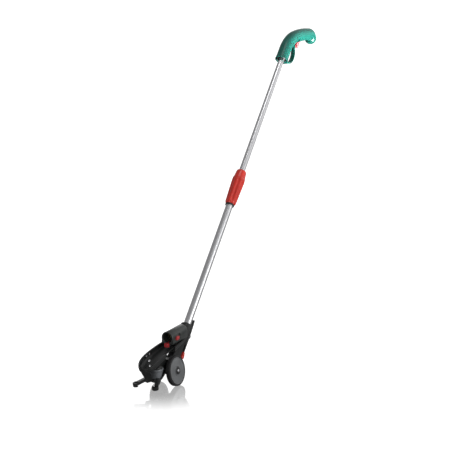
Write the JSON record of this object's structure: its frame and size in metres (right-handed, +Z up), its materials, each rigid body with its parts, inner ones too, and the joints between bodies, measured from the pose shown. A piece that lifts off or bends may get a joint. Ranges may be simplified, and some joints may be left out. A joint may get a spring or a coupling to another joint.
{
  "type": "lawn edger",
  "caption": "Wheeled telescopic handle and carrier for a cordless lawn edging shear, with a hooked grip, twist clamp, open dock and claw fork.",
  "frame": {"origin": "on the ground midway between the two wheels' lowest points", "axes": "-Y is the cutting direction, +X is the operator's left, +Z is up; the pole leans back towards +Y"},
  "size_m": [0.0752, 1.0603, 0.8761],
  "materials": {
    "black_plastic": "satin",
    "drum_plastic": "satin",
    "green_plastic": "gloss",
    "red_plastic": "gloss",
    "pale_red_plastic": "satin",
    "white_plastic": "satin",
    "grey_plastic": "satin",
    "tyre": "matte",
    "tube": "polished",
    "steel": "plated",
    "brass": "plain",
    "lead_rubber": "matte"
  },
  "bodies": {
    "base": {"frame_left": "black_plastic", "frame_right": "black_plastic", "frame_screws": "steel", "base_socket": "black_plastic", "head_cap": "black_plastic", "cradle": "black_plastic", "cradle_screws": "steel", "dock_sleeve": "drum_plastic", "contact_block": "brass", "latch_spring": "steel", "lever_pin": "steel", "lever_spring": "steel", "turret": "black_plastic", "blade_fork": "black_plastic", "fork_screw": "steel", "left_axle": "steel", "right_axle": "steel", "left_axle_cap": "black_plastic", "right_axle_cap": "black_plastic"},
    "latch": {"dock_latch": "pale_red_plastic"},
    "lever": {"back_lever": "black_plastic", "lever_pad": "red_plastic"},
    "wheel_left": {"left_wheel": "grey_plastic", "left_tyre": "tyre"},
    "wheel_right": {"right_wheel": "grey_plastic", "right_tyre": "tyre"},
    "pole": {"lower_tube": "tube", "pole_plug": "black_plastic", "clamp_chuck": "black_plastic", "coiled_lead": "lead_rubber"},
    "collar": {"clamp_collar": "red_plastic"},
    "grip": {"upper_tube": "tube", "guide_bush": "white_plastic", "upper_lead": "lead_rubber", "handle_left": "green_plastic", "handle_right": "green_plastic", "handle_screws": "steel", "trigger_pin": "steel", "trigger_spring": "steel", "micro_switch": "black_plastic"},
    "trigger": {"trigger": "pale_red_plastic"},
    "plunger": {"switch_plunger": "pale_red_plastic"}
  },
  "joints": [
    {"name": "latch_slide", "type": "slide", "parent": "base", "child": "latch", "axis": [0, 1, 0], "range_m": [0, 0.008], "deforming": ["latch_spring"]},
    {"name": "lever_press", "type": "hinge", "parent": "base", "child": "lever", "pos_m": [0, 0.10501, 0.09746], "axis": [-1, 0, 0], "range_deg": [0, 5], "deforming": ["lever_spring"]},
    {"name": "left_wheel_spin", "type": "hinge", "parent": "base", "child": "wheel_left", "pos_m": [0.0245, 0, 0.039], "axis": [0.9848, 0, 0.1736], "continuous": true},
    {"name": "right_wheel_spin", "type": "hinge", "parent": "base", "child": "wheel_right", "pos_m": [-0.0245, 0, 0.039], "axis": [-0.9848, 0, 0.1736], "continuous": true},
    {"name": "pole_release", "type": "slide", "parent": "base", "child": "pole", "axis": [0, 0.6691, 0.7431], "range_m": [0, 0.05]},
    {"name": "collar_twist", "type": "hinge", "parent": "pole", "child": "collar", "pos_m": [0, 0.1236, 0.148], "axis": [0, 0.6691, 0.7431], "range_deg": [0, 90]},
    {"name": "telescope", "type": "slide", "parent": "pole", "child": "grip", "axis": [0, 0.6691, 0.7431], "range_m": [-0.35, 0], "deforming": ["coiled_lead"]},
    {"name": "trigger_pull", "type": "hinge", "parent": "grip", "child": "trigger", "pos_m": [0, 0.8355, 0.84906], "axis": [-1, 0, 0], "range_deg": [0, 12], "deforming": ["trigger_spring"]},
    {"name": "switch_press", "type": "slide", "parent": "grip", "child": "plunger", "axis": [0, -0.1392, 0.9903], "range_m": [0, 0.0019]}
  ],
  "couplings": [
    {"joint": "switch_press", "follows": "trigger_pull", "m_per_rad": 0.009}
  ]
}
